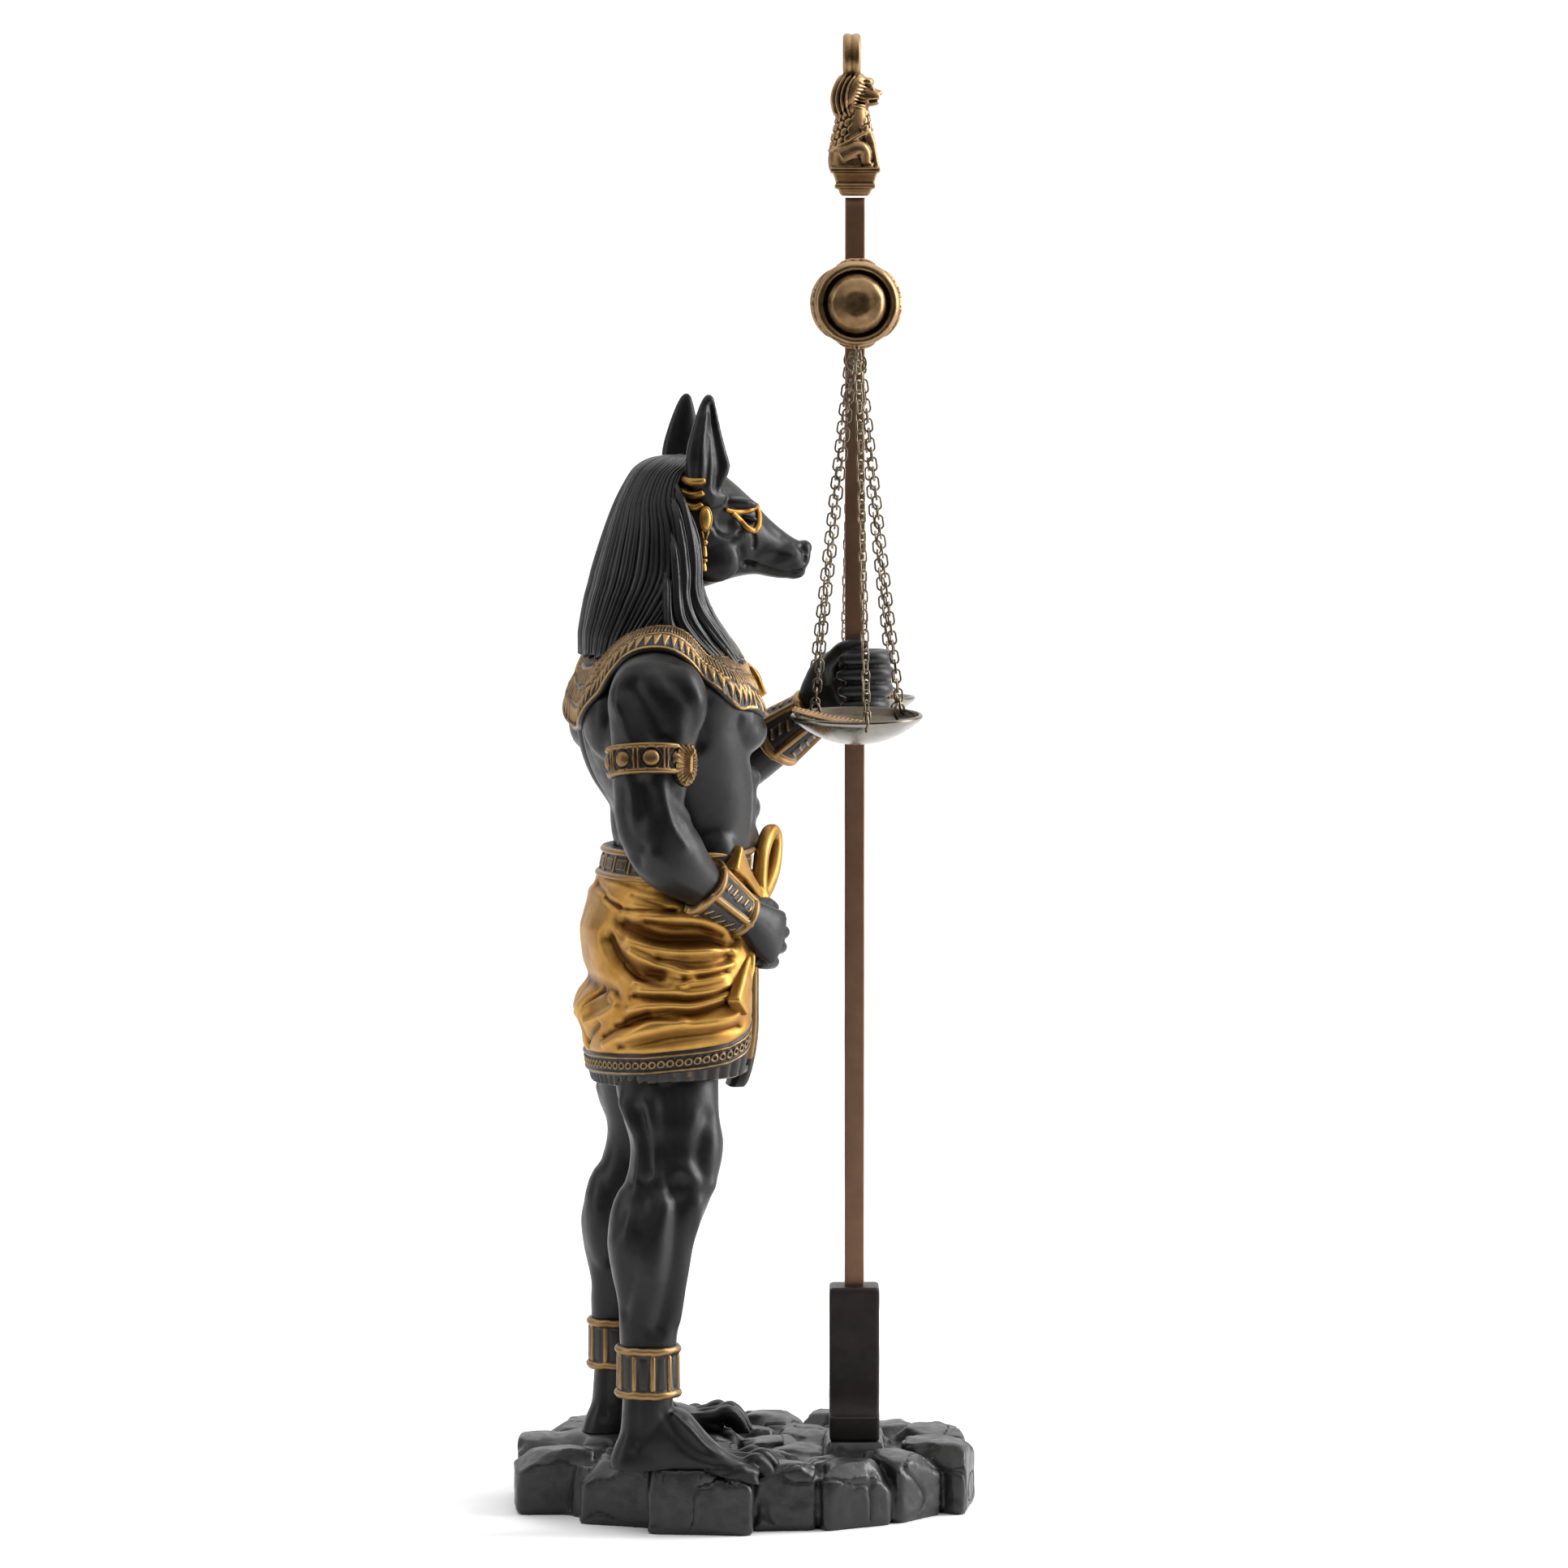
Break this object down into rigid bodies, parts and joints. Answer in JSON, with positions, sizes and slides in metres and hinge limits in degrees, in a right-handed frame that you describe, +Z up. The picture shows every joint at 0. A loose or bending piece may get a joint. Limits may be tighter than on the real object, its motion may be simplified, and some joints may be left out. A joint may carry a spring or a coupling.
{
  "type": "anubis statue",
  "caption": "Jackal-headed man in kilt and jewellery on a rough paved rock base, holding the tall rod of a hanging-pan balance topped by a seated baboon.",
  "frame": {"origin": "on the underside of the base, at the middle of its outline", "axes": "+Z up, along the height; +X the way the figure faces; its right side, with the nearer pan, towards -Y"},
  "size_m": [0.0921, 0.1051, 0.3],
  "materials": {
    "stone": "satin charcoal painted resin, carved as rock",
    "resin": "satin charcoal painted resin with gold paint",
    "dark_bronze": "dark bronze with worn edges",
    "copper": "matte brown copper",
    "bronze": "antique bronze",
    "dish": "polished",
    "chain": "antique, dull",
    "feather": "antique bronze",
    "gold": "satin gold"
  },
  "bodies": {
    "root": {"rock_base": "stone", "figure": "resin", "scale_foot": "dark_bronze", "scale_rod": "copper", "scale_beam": "bronze", "finial": "bronze", "pan_right": "dish", "chain_right_1": "chain", "chain_right_2": "chain", "chain_right_3": "chain", "pan_left": "dish", "chain_left_1": "chain", "chain_left_2": "chain", "chain_left_3": "chain", "feather": "feather", "heart": "gold"}
  },
  "joints": []
}
